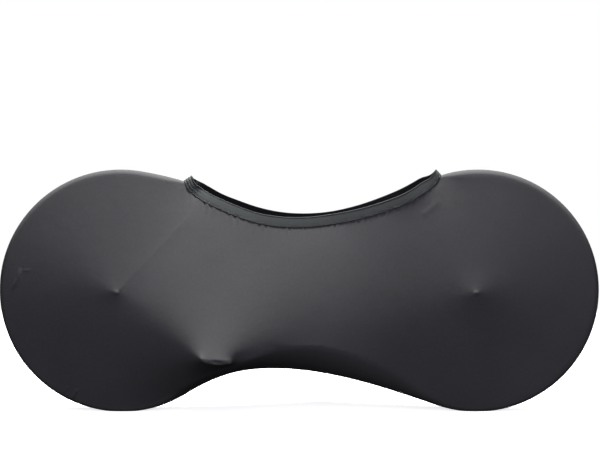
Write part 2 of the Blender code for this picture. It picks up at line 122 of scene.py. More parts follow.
# Between the lobes the cloth turns under in a wide round hollow. For each place along it, from
# front to rear: how far the turn stands out from the middle plane and how high it is.
TURN_ROWS = [
    {"x": 0.420, "near_out": 0.0145, "near_up": 0.0145, "far_out": 0.0145, "far_up": 0.0145},
    {"x": 0.330, "near_out": 0.0300, "near_up": 0.0320, "far_out": 0.0260, "far_up": 0.0260},
    {"x": 0.240, "near_out": 0.0500, "near_up": 0.0630, "far_out": 0.0420, "far_up": 0.0400},
    {"x": 0.140, "near_out": 0.0680, "near_up": 0.0820, "far_out": 0.0600, "far_up": 0.0500},
    {"x": 0.040, "near_out": 0.0840, "near_up": 0.0870, "far_out": 0.0700, "far_up": 0.0540},
    {"x": -0.065, "near_out": 0.1010, "near_up": 0.0740, "far_out": 0.0680, "far_up": 0.0520},
    {"x": -0.110, "near_out": 0.1120, "near_up": 0.0550, "far_out": 0.0630, "far_up": 0.0490},
    {"x": -0.150, "near_out": 0.1220, "near_up": 0.0430, "far_out": 0.0580, "far_up": 0.0460},
    {"x": -0.220, "near_out": 0.1000, "near_up": 0.0350, "far_out": 0.0450, "far_up": 0.0380},
    {"x": -0.280, "near_out": 0.0750, "near_up": 0.0350, "far_out": 0.0280, "far_up": 0.0260},
    {"x": -0.340, "near_out": 0.0300, "near_up": 0.0280, "far_out": 0.0145, "far_up": 0.0145},
    {"x": -0.400, "near_out": 0.0145, "near_up": 0.0145, "far_out": 0.0145, "far_up": 0.0145},
]

# The lower edge of the band from rear to front: x, height, and distance from the middle plane.
MOUTH_ROWS = [
    {"x": -0.3120, "near_z": 0.6251, "near_y": 0.012, "far_z": 0.6325, "far_y": 0.012},
    {"x": -0.2933, "near_z": 0.6058, "near_y": 0.014, "far_z": 0.6195, "far_y": 0.012},
    {"x": -0.2645, "near_z": 0.5860, "near_y": 0.021, "far_z": 0.6015, "far_y": 0.018},
    {"x": -0.2277, "near_z": 0.5684, "near_y": 0.028, "far_z": 0.5805, "far_y": 0.025},
    {"x": -0.1801, "near_z": 0.5483, "near_y": 0.034, "far_z": 0.5608, "far_y": 0.031},
    {"x": -0.1192, "near_z": 0.5280, "near_y": 0.038, "far_z": 0.5398, "far_y": 0.034},
    {"x": -0.0505, "near_z": 0.5170, "near_y": 0.036, "far_z": 0.5257, "far_y": 0.034},
    {"x": 0.0180, "near_z": 0.5155, "near_y": 0.032, "far_z": 0.5220, "far_y": 0.033},
    {"x": 0.0866, "near_z": 0.5229, "near_y": 0.029, "far_z": 0.5272, "far_y": 0.030},
    {"x": 0.1637, "near_z": 0.5375, "near_y": 0.030, "far_z": 0.5439, "far_y": 0.030},
    {"x": 0.2405, "near_z": 0.5594, "near_y": 0.028, "far_z": 0.5698, "far_y": 0.031},
    {"x": 0.3062, "near_z": 0.5853, "near_y": 0.025, "far_z": 0.5985, "far_y": 0.029},
    {"x": 0.3501, "near_z": 0.6123, "near_y": 0.019, "far_z": 0.6241, "far_y": 0.022},
    {"x": 0.3806, "near_z": 0.6382, "near_y": 0.012, "far_z": 0.6442, "far_y": 0.012},
]
# In degrees: which way the band's lower edge leaves each corner, which way the band's width lies
# there, and how far the band's top leans in over the mouth.
MOUTH_END_RUN = {"rear": -60.0, "front": 236.0}
BAND_END_RISE = {"rear": 33.0, "front": 134.0}
BAND_LEAN = {"rear": 14.0, "front": 4.0}

# What holds the cloth out on each side.
NUBS = {
    "near": [
        {"x": -0.5025, "z": 0.3400, "y": 0.070, "radius": 0.0085},
        {"x": 0.4885, "z": 0.3360, "y": 0.045, "radius": 0.0080},
    ],
    "far": [
        {"x": -0.4950, "z": 0.3370, "y": 0.068, "radius": 0.0085},
        {"x": 0.4950, "z": 0.3370, "y": 0.050, "radius": 0.0080},
    ],
}
# The lowest and highest edge of each bulge, from its pointed end, and how far it stands out.
BULGES = {
    "near": [
        {"x": -0.2655, "low": 0.1630, "high": 0.1700, "y": 0.1550},
        {"x": -0.2520, "low": 0.1570, "high": 0.1670, "y": 0.1540},
        {"x": -0.2370, "low": 0.1540, "high": 0.1665, "y": 0.1530},
        {"x": -0.2220, "low": 0.1515, "high": 0.1665, "y": 0.1520},
        {"x": -0.2080, "low": 0.1525, "high": 0.1650, "y": 0.1485},
        {"x": -0.1960, "low": 0.1530, "high": 0.1635, "y": 0.1440},
        {"x": -0.1860, "low": 0.1540, "high": 0.1625, "y": 0.1370},
    ],
    "far": [
        {"x": 0.0820, "low": 0.3700, "high": 0.3780, "y": 0.1550},
        {"x": 0.0660, "low": 0.3640, "high": 0.3770, "y": 0.1540},
        {"x": 0.0500, "low": 0.3610, "high": 0.3765, "y": 0.1530},
        {"x": 0.0340, "low": 0.3600, "high": 0.3765, "y": 0.1520},
        {"x": 0.0180, "low": 0.3620, "high": 0.3760, "y": 0.1500},
        {"x": 0.0030, "low": 0.3650, "high": 0.3740, "y": 0.1460},
    ],
}
BULGE_LEAN = 0.06  # how far a bulge leans back for each unit of its height
BULGE_HALF_HEIGHT = 0.006
BULGE_STEP = 0.004
BULGE_LINES = 4
# The two rings of held points round a nub's middle: shares of its radius, and how far back.
NUB_RINGS = [{"share": 0.5, "back": 0.0004}, {"share": 1.0, "back": 0.0015}]
NUB_POINTS = 10
NUB_RING_TURN = 18  # in degrees, so that the points of the two rings don't line up
FOLD_TO_MOUTH = -0.268  # where the taut fold from the rear nub meets the mouth
FOLD_FIRST = 0.012
FOLD_STEP = 0.003

# How the cloth pulls: where it lies flat, along the taut fold, how fast its pull grows with its
# slope, and how much harder it pulls along the cover than up and down.
EVEN_PULL = 0.001
FOLD_PULL = 0.012
STIFFENING = 2.8
LENGTHWISE = 1.3

# The creases in the side view: where each runs, how high and how wide it is. A taut one has a
# sharp line in its middle, and a soft one is round.
CREASES = {
    "near": [
        {"kind": "taut", "from": (-0.5025, 0.3400), "to": (-0.2680, 0.5870),
         "height": 0.0016, "width": 0.0200, "bend": 0.000},
        {"kind": "soft", "from": (-0.770, 0.407), "to": (-0.798, 0.340),
         "height": 0.0022, "width": 0.0045, "bend": 0.002},
        {"kind": "soft", "from": (-0.768, 0.396), "to": (-0.742, 0.398),
         "height": 0.0005, "width": 0.0040, "bend": 0.000},
        {"kind": "soft", "from": (-0.617, 0.068), "to": (-0.635, 0.034),
         "height": 0.0042, "width": 0.0032, "bend": 0.001},
        {"kind": "soft", "from": (-0.642, 0.074), "to": (-0.662, 0.050),
         "height": 0.0016, "width": 0.0040, "bend": 0.000},
        {"kind": "soft", "from": (-0.240, 0.1620), "to": (-0.202, 0.1545),
         "height": -0.0016, "width": 0.0025, "bend": 0.000},
        {"kind": "soft", "from": (0.395, 0.600), "to": (0.330, 0.545),
         "height": 0.0005, "width": 0.0090, "bend": 0.004},
    ],
    "far": [
        {"kind": "taut", "from": (-0.4950, 0.3370), "to": (-0.2680, 0.5975),
         "height": 0.0010, "width": 0.0200, "bend": 0.000},
        {"kind": "soft", "from": (-0.780, 0.300), "to": (-0.760, 0.360),
         "height": 0.0008, "width": 0.0040, "bend": 0.002},
        {"kind": "soft", "from": (0.395, 0.600), "to": (0.335, 0.550),
         "height": 0.0008, "width": 0.0090, "bend": 0.003},
        {"kind": "soft", "from": (0.640, 0.075), "to": (0.600, 0.050),
         "height": 0.0006, "width": 0.0040, "bend": 0.000},
    ],
}
CREASE_FADE = 0.3  # the share of its length over which a crease fades out at each end
NUB_DOT_HEIGHT = 0.0015
NUB_DOT_RADIUS = 0.0060

# The small puckers along the band and across the seam: how long and how high they are, over what
# distance they die away, and where they end. Each side has its own, from its own seed.
BAND_PUCKERS = {"lengths": (0.009, 0.026), "height": 0.0005, "dies_in": 0.012, "ends_at": 0.045}
SEAM_PUCKERS = {"lengths": (0.010, 0.022), "height": 0.00014, "dies_in": 0.006, "ends_at": 0.030}
WAVES_IN_A_RIPPLE = 9
FIRST_PHASES = (0, 6.28)  # in radians
PUCKER_SEEDS = {"near": 3, "far": 5}

# Mesh sizes: the outline, the turned edge in degrees, and the cloth at its three finenesses. The
# finer points lie only this near to each of the things that shape the cloth.
OUTLINE_STEP = 0.0055
EDGE_ANGLES = np.linspace(0, 80, 12)
MOUTH_STEP = 0.0040
CLOTH_STEPS = (0.0100, 0.0050, 0.0025)
EVERYWHERE = 9.0
NEAR_SUPPORT = (EVERYWHERE, 0.060, 0.020)
NEAR_MOUTH = (EVERYWHERE, 0.045, 0.012)
NEAR_FOLD = (EVERYWHERE, 0.020, 0.006)
NEAR_SOFT_CREASE = (EVERYWHERE, 0.022, 0.010)
POINTS_APART = 0.62  # the least distance between points, as a share of their step
EVENING_ROUNDS = 3
FIRST_STAND = 0.05  # where the stretched cloth's free points start from
TURN_SMOOTHING = 0.0012  # in square metres
TURN_POWER = {"rim": 2.0, "hollow": 1.5}  # 2 turns in a round, and less is straighter
TURN_FULL = 0.045  # a turn that stands out this far is all hollow
PULL_ROUNDS = 22
PULL_SHARE = 0.42  # how far each round goes towards its own answer
SOLVER_ROUNDS = 260
SOLVED = 1e-16
SAME_POINT = 1e-7


def direction(degrees):
    """The unit vector in the side view (x, z) at this angle from +X towards +Z."""
    return np.array([math.cos(math.radians(degrees)), math.sin(math.radians(degrees))])


def smooth_step(share):
    """Rises smoothly from 0 to 1 as the share does."""
    share = np.clip(share, 0.0, 1.0)
    return share * share * (3 - 2 * share)


def unit(rows):
    """Each row at a length of 1."""
    return rows / np.linalg.norm(rows, axis=-1, keepdims=True)


def travel(points):
    """The distance along a line of points, up to each of them."""
    return np.r_[0, np.cumsum(np.linalg.norm(np.diff(points, axis=0), axis=1))]


# The shape of the cloth


def arc(centre, first, last):
    """Points round a lobe's rim between two angles."""
    count = max(2, round(abs(math.radians(last - first)) * LOBE_RADIUS / OUTLINE_STEP))
    angles = np.linspace(first, last, count + 1)
    return [centre + LOBE_RADIUS * direction(a) for a in angles]


def bezier(start, start_arm, end_arm, end):
    """Points along a curve that leaves both of its ends along an arm."""
    count = max(2, round(np.linalg.norm(np.subtract(end, start)) / OUTLINE_STEP))
    t = np.linspace(0, 1, count + 1)[:, None]
    points = (
        (1 - t) ** 3 * start
        + 3 * (1 - t) ** 2 * t * (start + start_arm)
        + 3 * (1 - t) * t**2 * (end + end_arm)
        + t**3 * end
    )
    return list(points)


def through(knots, step):
    """Points about every step along a smooth curve through the knots, both ends included."""
    knots = np.asarray(knots, float)
    place = travel(knots)
    lengths = np.diff(place)
    slopes = np.gradient(knots, place, axis=0)
    at = np.linspace(0, place[-1], max(2, round(place[-1] / step)) + 1)
    i = np.clip(np.searchsorted(place, at, side="right") - 1, 0, len(lengths) - 1)
    length = lengths[i][:, None]
    t = (at - place[i])[:, None] / length
    return (
        (2 * t**3 - 3 * t**2 + 1) * knots[i]
        + (t**3 - 2 * t**2 + t) * length * slopes[i]
        + (3 * t**2 - 2 * t**3) * knots[i + 1]
        + (t**3 - t**2) * length * slopes[i + 1]
    )


def outline(side):
    """The seam in the side view, clockwise from the mouth's front corner to its rear corner.

    Each station has its point, the way in from it along the cloth, and how far the turned edge
    stands out and reaches in.
    """
    front = np.array([LOBE_SPACING / 2, LOBE_HEIGHT])
    rear = np.array([-LOBE_SPACING / 2, LOBE_HEIGHT])
    belly = np.array(BELLY_TOP)
    corner = np.array(MOUTH_REAR_CORNER)
    level = np.array([1.0, 0.0])

    over_front = arc(front, FRONT_NOTCH_ANGLE, FRONT_LEAVES_ANGLE)
    over_rear = arc(rear, REAR_LEAVES_ANGLE, REAR_RISES_ANGLE - 360)
    front_run = direction(FRONT_LEAVES_ANGLE - 90) * BELLY_HANDLES["front"]
    rear_run = direction(REAR_LEAVES_ANGLE + 90) * BELLY_HANDLES["rear"]
    belly_front = bezier(over_front[-1], front_run, level * BELLY_HANDLES["top_front"], belly)
    belly_rear = bezier(belly, -level * BELLY_HANDLES["top_rear"], rear_run, over_rear[0])
    rise_arm = np.linalg.norm(corner - over_rear[-1]) / 3
    rise = bezier(
        over_rear[-1],
        direction(REAR_RISES_ANGLE - 90) * rise_arm,
        -direction(MOUTH_REAR_SLOPE) * rise_arm,
        corner,
    )
    points = np.array(over_front + belly_front[1:] + belly_rear[1:] + over_rear[1:] + rise[1:])

    run = unit(np.gradient(points, axis=0))
    inward = np.c_[run[:, 1], -run[:, 0]]
    travelled = travel(points)
    to_front_corner = smooth_step(1 - travelled / MOUTH_CORNER_LENGTH)
    to_rear_corner = smooth_step(1 - (travelled[-1] - travelled) / MOUTH_CORNER_LENGTH)
    to_corner = np.maximum(to_front_corner, to_rear_corner)
    below = (points[:, 1] < LOBE_HEIGHT) & (np.abs(points[:, 0]) < LOBE_SPACING / 2)
    turns = []
    for measure in ("_out", "_up"):
        rows = [(row["x"], row[side + measure]) for row in reversed(TURN_ROWS)]
        turn = np.where(below, np.interp(points[:, 0], *zip(*rows)), LOBE_RIM_RADIUS)
        for _ in range(round(TURN_SMOOTHING / OUTLINE_STEP**2)):
            turn[1:-1] += 0.25 * (turn[2:] - 2 * turn[1:-1] + turn[:-2])
        turns.append(turn + (EDGE_RADIUS_MOUTH - turn) * to_corner)
    for share, end in ((to_front_corner, "front"), (to_rear_corner, "rear")):
        inward += (direction(MOUTH_END_RUN[end]) - inward) * share[:, None]
    return points, unit(inward), *turns


def folded_edge(points, inward, out, up):
    """Rings of (x, stand-off, z) from the seam round the turned edge to the flat side."""
    rings = []
    share = smooth_step((out - LOBE_RIM_RADIUS) / (TURN_FULL - LOBE_RIM_RADIUS))
    bend = 2 / (TURN_POWER["rim"] + (TURN_POWER["hollow"] - TURN_POWER["rim"]) * share)
    for degrees in EDGE_ANGLES:
        angle = math.radians(degrees)
        place = points + inward * (up * (1 - math.cos(angle) ** bend))[:, None]
        stand = out * math.sin(angle) ** bend + SEWN_GAP / 2
        rings.append(np.c_[place[:, 0], stand, place[:, 1]])
    return np.array(rings)


def mouth_edge(side, rings):
    """The band's lower edge as (x, stand-off, z) from the rear corner to the front corner."""
    rows = [(row["x"], row[side + "_y"], row[side + "_z"]) for row in MOUTH_ROWS]
    knots = [rings[-1][-1], *rows, rings[-1][0]]
    return np.r_[rings[:-1, -1], through(knots, MOUTH_STEP), rings[-2::-1, 0]]


def band_rise(edge):
    """For each point of the band's lower edge, the way up across the band's width, and the width."""
    run = np.gradient(edge, axis=0)
    across = unit(np.c_[-run[:, 2], np.zeros(len(run)), run[:, 0]])
    travelled = travel(edge)
    to_rear = smooth_step(1 - (travelled - EDGE_RADIUS_MOUTH) / MOUTH_CORNER_LENGTH)
    to_front = smooth_step(1 - (travelled[-1] - travelled - EDGE_RADIUS_MOUTH) / MOUTH_CORNER_LENGTH)
    share = smooth_step(travelled / travelled[-1])
    lean = BAND_LEAN["rear"] + (BAND_LEAN["front"] - BAND_LEAN["rear"]) * share
    lean = np.radians(lean) * (1 - np.maximum(to_rear, to_front))
    rise = across * np.cos(lean)[:, None] - np.outer(np.sin(lean), [0, 1, 0])
    width = np.full(len(edge), BAND_WIDTH)
    ends = ((to_rear, "rear", BAND_WIDTH_REAR_END), (to_front, "front", BAND_WIDTH_FRONT_END))
    for share, end, end_width in ends:
        x, z = direction(BAND_END_RISE[end])
        rise += (np.array([x, 0, z]) - rise) * share[:, None]
        width += (end_width - width) * share
    return unit(rise), width


def supports(side):
    """The points of cloth that are held out from inside, as (x, stand-off, z)."""
    held = []
    for nub in NUBS[side]:
        centre = np.array([nub["x"], nub["y"], nub["z"]])
        held.append(centre)
        for ring in NUB_RINGS:
            for turn in np.linspace(0, 360, NUB_POINTS, endpoint=False):
                way = direction(turn + NUB_RING_TURN * ring["share"])
                x, z = way * nub["radius"] * ring["share"]
                held.append(centre + [x, -ring["back"], z])
    columns = [[row[name] for name in ("x", "low", "high", "y")] for row in BULGES[side]]
    for x, low, high, y in through(columns, BULGE_STEP):
        for z in np.linspace(low, high, BULGE_LINES):
            held.append(np.array([x, y - BULGE_LEAN * (z - low), z]))
    return np.array(held)


def inside(polygon, points):
    """Which points lie in a closed polygon, by counting the sides that a level ray crosses."""
    odd = np.zeros(len(points), bool)
    for a, b in zip(polygon, np.roll(polygon, -1, axis=0)):
        if a[1] == b[1]:
            continue
        spans = (a[1] > points[:, 1]) != (b[1] > points[:, 1])
        at = a[0] + (points[:, 1] - a[1]) / (b[1] - a[1]) * (b[0] - a[0])
        odd ^= spans & (at > points[:, 0])
    return odd


def distance_to_line(points, line):
    """The distance in the side view from each point to a line of points."""
    nearest = np.full(len(points), np.inf)
    for a, b in zip(line[:-1], line[1:]):
        along = np.clip((points - a) @ (b - a) / ((b - a) @ (b - a)), 0, 1)
        away = np.linalg.norm(points - a - along[:, None] * (b - a), axis=1)
        nearest = np.minimum(nearest, away)
    return nearest


def free_points(side, boundary, mouth, fold):
    """Places in the side view for the cloth's own points, finer near what shapes it."""
    low, high = boundary.min(0), boundary.max(0)
    bulge = np.array([[row["x"], (row["low"] + row["high"]) / 2] for row in BULGES[side]])
    kept = []
    for level, step in enumerate(CLOTH_STEPS):
        columns = np.arange(low[0], high[0], step)
        rows = np.arange(low[1], high[1], step * math.sqrt(3) / 2)
        grid = np.array([(x + step / 2 * (i % 2), z) for i, z in enumerate(rows) for x in columns])
        near = distance_to_line(grid, bulge) < NEAR_SUPPORT[level] + BULGE_HALF_HEIGHT
        for nub in NUBS[side]:
            near |= np.linalg.norm(grid - [nub["x"], nub["z"]], axis=1) < NEAR_SUPPORT[level]
        near |= distance_to_line(grid, mouth) < NEAR_MOUTH[level]
        near |= distance_to_line(grid, fold) < NEAR_FOLD[level]
        for crease in CREASES[side]:
            if crease["kind"] == "soft":
                line = np.array([crease["from"], crease["to"]])
                near |= distance_to_line(grid, line) < NEAR_SOFT_CREASE[level]
        grid = grid[near]
        kept.append(grid[inside(boundary, grid)])
    return kept


def spread(points, held, apart):
    """The points that keep this far from the held ones and from each other."""
    taken = {}
    for p in held:
        taken.setdefault((int(p[0] // apart), int(p[1] // apart)), []).append(p)
    found = []
    for p in points:
        i, j = int(p[0] // apart), int(p[1] // apart)
        close = (
            math.dist(p, q) < apart
            for di in (-1, 0, 1)
            for dj in (-1, 0, 1)
            for q in taken.get((i + di, j + dj), ())
        )
        if not any(close):
            found.append(p)
            taken.setdefault((i, j), []).append(p)
    return np.array(found).reshape(-1, 2)


def triangulate(flat, count):
    """The triangles between the points, inside the loop of the first ones."""
    loop = [(i, (i + 1) % count) for i in range(count)]
    result = delaunay_2d_cdt([Vector(p) for p in flat], loop, [], 1, SAME_POINT)
    if len(result[0]) != len(flat):
        raise ValueError("two points of the cloth fell together")
    return np.array(result[2])


def pull_tight(flat, triangles, stand, fixed, pairs):
    """The stand-off of each free point of the stretched cloth.

    The cloth pulls harder where it is stretched more, so each triangle's pull grows with its
    slope. That gives the straight-sided tents that stretch cloth makes over a nub.
    """
    corners = flat[triangles]
    sides = corners[:, [2, 0, 1]] - corners[:, [1, 2, 0]]
    area = 0.5 * np.abs(sides[:, 0, 0] * sides[:, 1, 1] - sides[:, 0, 1] * sides[:, 1, 0])
    gradients = np.stack([-sides[..., 1], sides[..., 0]], -1) / (2 * area)[:, None, None]
    gradients *= [math.sqrt(LENGTHWISE), 1]
    links = [(0, 1), (1, 2), (2, 0)]
    products = np.stack([(gradients[:, i] * gradients[:, j]).sum(1) for i, j in links])
    a = np.concatenate([triangles[:, i] for i, _ in links] + [[p for p, _ in pairs]]).astype(int)
    b = np.concatenate([triangles[:, j] for _, j in links] + [[q for _, q in pairs]]).astype(int)
    line = [FOLD_PULL / np.linalg.norm(flat[p] - flat[q]) for p, q in pairs]
    free = ~fixed
    size = len(flat)
    for _ in range(PULL_ROUNDS):
        slope = np.linalg.norm(np.einsum("tik,ti->tk", gradients, stand[triangles]), axis=1)
        pull = EVEN_PULL + slope**STIFFENING
        weight = np.concatenate([*(-pull * area * p for p in products), line])
        diagonal = np.bincount(a, weight, size) + np.bincount(b, weight, size)

        def residual(s):
            flow = weight * (s[a] - s[b])
            out = np.bincount(b, flow, size) - np.bincount(a, flow, size)
            return np.where(free, out, 0)

        found = stand.copy()
        left = residual(found)
        step = left / diagonal
        size_left = left @ step
        way = step.copy()
        for _ in range(SOLVER_ROUNDS):
            image = -residual(way)
            length = size_left / (way @ image)
            found += length * way
            left -= length * image
            step = left / diagonal
            new_size = left @ step
            if new_size < SOLVED:
                break
            way = step + new_size / size_left * way
            size_left = new_size
        stand = (1 - PULL_SHARE) * stand + PULL_SHARE * found
    return stand


def waves(along, rng, lengths):
    """An uneven ripple along a line: a sum of waves between two lengths, about 1 high."""
    total = np.zeros_like(along)
    for _ in range(WAVES_IN_A_RIPPLE):
        length = rng.uniform(*lengths)
        wave = np.sin(2 * math.pi * along / length + rng.uniform(*FIRST_PHASES))
        total += math.sqrt(2 / WAVES_IN_A_RIPPLE) * wave
    return total


def puckers(away, along, rng, kind):
    """How high small puckers stand at each point, by how far away it is from where they start."""
    height = np.zeros(len(away))
    near = away < kind["ends_at"]
    ripple = waves(along[near], rng, kind["lengths"])
    height[near] = kind["height"] * np.exp(-away[near] / kind["dies_in"]) * ripple
    return height


def sheet_normals(vertices, faces):
    """The normals of a sheet's points, from the crossed diagonals of its faces."""
    normals = np.zeros_like(vertices)
    for face_size in (3, 4):
        group = np.array([f for f in faces if len(f) == face_size])
        if not len(group):
            continue
        across = vertices[group[:, 2]] - vertices[group[:, 0]]
        other = vertices[group[:, -1]] - vertices[group[:, 1]]
        turned = np.cross(across, other)
        for column in group.T:
            np.add.at(normals, column, turned)
    return unit(normals)


def turned_edge(side):
    """The turned edge as points, faces and flat places, and where its two inner lines are.

    Those are the band's lower edge, as points and as their numbers, and the numbers of the loop
    of points that the stretched cloth starts from.
    """
    points, inward, out, up = outline(side)
    rings = folded_edge(points, inward, out, up)
    edge = mouth_edge(side, rings)
    stations, steps = len(points), len(rings)
    vertices = rings.reshape(-1, 3)
    unrolled = np.linalg.norm(np.diff(rings[::-1], axis=0), axis=2).cumsum(axis=0)[::-1]
    unrolled = np.r_[unrolled, np.zeros((1, stations))]
    places = (rings[-1][:, [0, 2]] - inward * unrolled[:, :, None]).reshape(-1, 2)
    faces = []
    for ring in range(steps - 1):
        for j in range(stations - 1):
            a = ring * stations + j
            faces.append((a, a + stations, a + 1 + stations, a + 1))

    middle = edge[steps : len(edge) - steps]
    middle_index = list(range(len(vertices), len(vertices) + len(middle)))
    edge_index = [ring * stations + stations - 1 for ring in range(steps)]
    edge_index += middle_index
    edge_index += [ring * stations for ring in reversed(range(steps))]
    border = [(steps - 1) * stations + j for j in range(stations)] + middle_index
    vertices = np.r_[vertices, middle]
    places = np.r_[places, middle[:, [0, 2]]]
    return vertices, faces, places, edge, edge_index, border


def stretched_middle(side, vertices, edge, edge_index, border):
    """The cloth inside its border: its points in the side view, stand-offs and triangles."""
    boundary = vertices[border][:, [0, 2]]
    count = len(border)
    held = supports(side)
    fold_end = edge_index[int(np.argmin(np.abs(edge[:, 0] - FOLD_TO_MOUTH)))]
    fold_start = held[0][[0, 2]]
    way = vertices[fold_end][[0, 2]] - fold_start
    reach = np.linalg.norm(way)
    shares = np.linspace(FOLD_FIRST / reach, 1, round(reach / FOLD_STEP), endpoint=False)
    fold = fold_start + way * shares[:, None]

    kept = free_points(side, boundary, edge[:, [0, 2]], np.array([fold_start, fold_start + way]))
    fixed_flat = np.r_[boundary, held[:, [0, 2]], fold]
    free = np.empty((0, 2))
    for grid, step in reversed(list(zip(kept, CLOTH_STEPS))):
        free = np.r_[free, spread(grid, np.r_[fixed_flat, free], POINTS_APART * step)]
    flat = np.r_[fixed_flat, free]
    triangles = triangulate(flat, count)
    for _ in range(EVENING_ROUNDS):
        flat = even_out(flat, triangles, len(fixed_flat))
        triangles = triangulate(flat, count)

    fixed_count = count + len(held)
    free_stand = np.full(len(flat) - fixed_count, FIRST_STAND)
    stand = np.r_[vertices[border][:, 1], held[:, 1], free_stand]
    fixed = np.arange(len(flat)) < fixed_count
    fold_points = [count, *range(fixed_count, fixed_count + len(fold)), border.index(fold_end)]
    pairs = list(zip(fold_points[:-1], fold_points[1:]))
    return flat, pull_tight(flat, triangles, stand, fixed, pairs), triangles


def panel_sheet(side):
    """One side's cloth: its points, faces, and flat places for the knit to follow."""
    rng = np.random.default_rng(PUCKER_SEEDS[side])
    vertices, faces, places, edge, edge_index, border = turned_edge(side)
    flat, stand, triangles = stretched_middle(side, vertices, edge, edge_index, border)
    count = len(border)
    own = np.r_[border, len(vertices) + np.arange(len(flat) - count)]
    vertices = np.r_[vertices, np.c_[flat[count:, 0], stand[count:], flat[count:, 1]]]
    places = np.r_[places, flat[count:]]
    faces += [tuple(own[i] for i in triangle) for triangle in triangles]

    rise, _ = band_rise(edge)
    last = edge_index
    for reach_up in HEM_ROWS:
        row = list(range(len(vertices), len(vertices) + len(edge)))
        vertices = np.r_[vertices, edge + rise * reach_up]
        places = np.r_[places, (edge + rise * reach_up)[:, [0, 2]]]
        for i in range(len(edge) - 1):
            faces.append((last[i], last[i + 1], row[i + 1], row[i]))
        last = row

    vertices = wrinkle(vertices, faces, side, edge, rng)
    return vertices, faces, places


def even_out(flat, triangles, count):
    """Moves each free point halfway to the middle of its neighbours."""
    a = np.concatenate([triangles[:, 0], triangles[:, 1], triangles[:, 2]])
    b = np.concatenate([triangles[:, 1], triangles[:, 2], triangles[:, 0]])
    total = np.zeros_like(flat)
    np.add.at(total, a, flat[b])
    number = np.bincount(a, minlength=len(flat))
    moved = flat.copy()
    moved[count:] = 0.5 * flat[count:] + 0.5 * (total / number[:, None])[count:]
    return moved


def wrinkle(vertices, faces, side, edge, rng):
    """Small puckers along the band and the seam, and the few creases that the cloth shows."""
    normals = sheet_normals(vertices, faces)
    flat = vertices[:, [0, 2]]
    from_band = distance_to_line(flat, edge[:, [0, 2]])
    lift = puckers(from_band, flat[:, 0], rng, BAND_PUCKERS)
    from_lobe = flat[:, 0] - np.sign(flat[:, 0]) * LOBE_SPACING / 2
    angle = np.arctan2(flat[:, 1] - LOBE_HEIGHT, from_lobe)
    lift += puckers(vertices[:, 1], angle * LOBE_RADIUS, rng, SEAM_PUCKERS)
    for crease in CREASES[side]:
        start, end = np.array(crease["from"]), np.array(crease["to"])
        length = np.linalg.norm(end - start)
        along = (flat - start) @ (end - start) / length**2
        side_way = (flat - start) @ np.array([start[1] - end[1], end[0] - start[0]]) / length
        side_way = (side_way - crease["bend"] * 4 * along * (1 - along)) / crease["width"]
        fade = smooth_step(along / CREASE_FADE) * smooth_step((1 - along) / CREASE_FADE)
        section = np.exp(-np.abs(side_way)) if crease["kind"] == "taut" else np.exp(-(side_way**2))
        lift += crease["height"] * fade * section
    for nub in NUBS[side]:
        away = np.linalg.norm(flat - [nub["x"], nub["z"]], axis=1)
        lift += NUB_DOT_HEIGHT * np.exp(-((away / NUB_DOT_RADIUS) ** 2))
    return vertices - normals * lift[:, None]


def mesh_object(name, vertices, faces, places=None):
    """A smooth mesh object. places gives each point's place on the flat cloth, as its UV."""
    mesh = bpy.data.meshes.new(name)
    mesh.from_pydata([tuple(v) for v in vertices], [], [tuple(int(i) for i in f) for f in faces])
    mesh.validate()
    if places is not None:
        layer = mesh.uv_layers.new(name="flat_cloth")
        corner = np.empty(len(mesh.loops), np.int32)
        mesh.loops.foreach_get("vertex_index", corner)
        layer.data.foreach_set("uv", np.asarray(places, float)[corner].ravel())
    mesh.shade_smooth()
    obj = bpy.data.objects.new(name, mesh)
    bpy.context.scene.collection.objects.link(obj)
    return obj


def apply_modifiers(obj):
    """Applies all of the piece's modifiers, with only the piece selected."""
    for other in bpy.context.selected_objects:
        other.select_set(False)
    bpy.context.view_layer.objects.active = obj
    obj.select_set(True)
    for modifier in list(obj.modifiers):
        bpy.ops.object.modifier_apply(modifier=modifier.name)
    obj.select_set(False)


def make_panel(name, side, node, material):
    """One side's cloth as a thin sheet, in place of its solid."""
    vertices, faces, places = panel_sheet(side)
    vertices = vertices * [1, -1 if side == "near" else 1, 1]
    vertices[:, 2] = np.maximum(vertices[:, 2], 0)
    if side == "far":
        faces = [tuple(reversed(face)) for face in faces]
    obj = mesh_object(name, vertices, faces, places)
    obj.data.materials.append(material)
    thickness = obj.modifiers.new("cloth_thickness", "SOLIDIFY")
    thickness.thickness = CLOTH_THICK
    thickness.offset = -1
    apply_modifiers(obj)
    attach(obj, "root")
    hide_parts(node)


# The band


def band_loop():
    """Round the whole mouth: the band's lower edge, its way up, its width and its way out."""
    near, far = (mouth_edge(side, folded_edge(*outline(side))) for side in ("near", "far"))
    near_rise, near_width = band_rise(near)
    far_rise, far_width = band_rise(far)
    loop = np.r_[near * [1, -1, 1], far[-2:0:-1]]
    loop[[0, len(near) - 1], 1] = 0
    rise = np.r_[near_rise * [1, -1, 1], far_rise[-2:0:-1]]
    width = np.r_[near_width, far_width[-2:0:-1]]
    run = np.roll(loop, -1, axis=0) - np.roll(loop, 1, axis=0)
    return loop, unit(rise), width, unit(np.cross(run, rise))


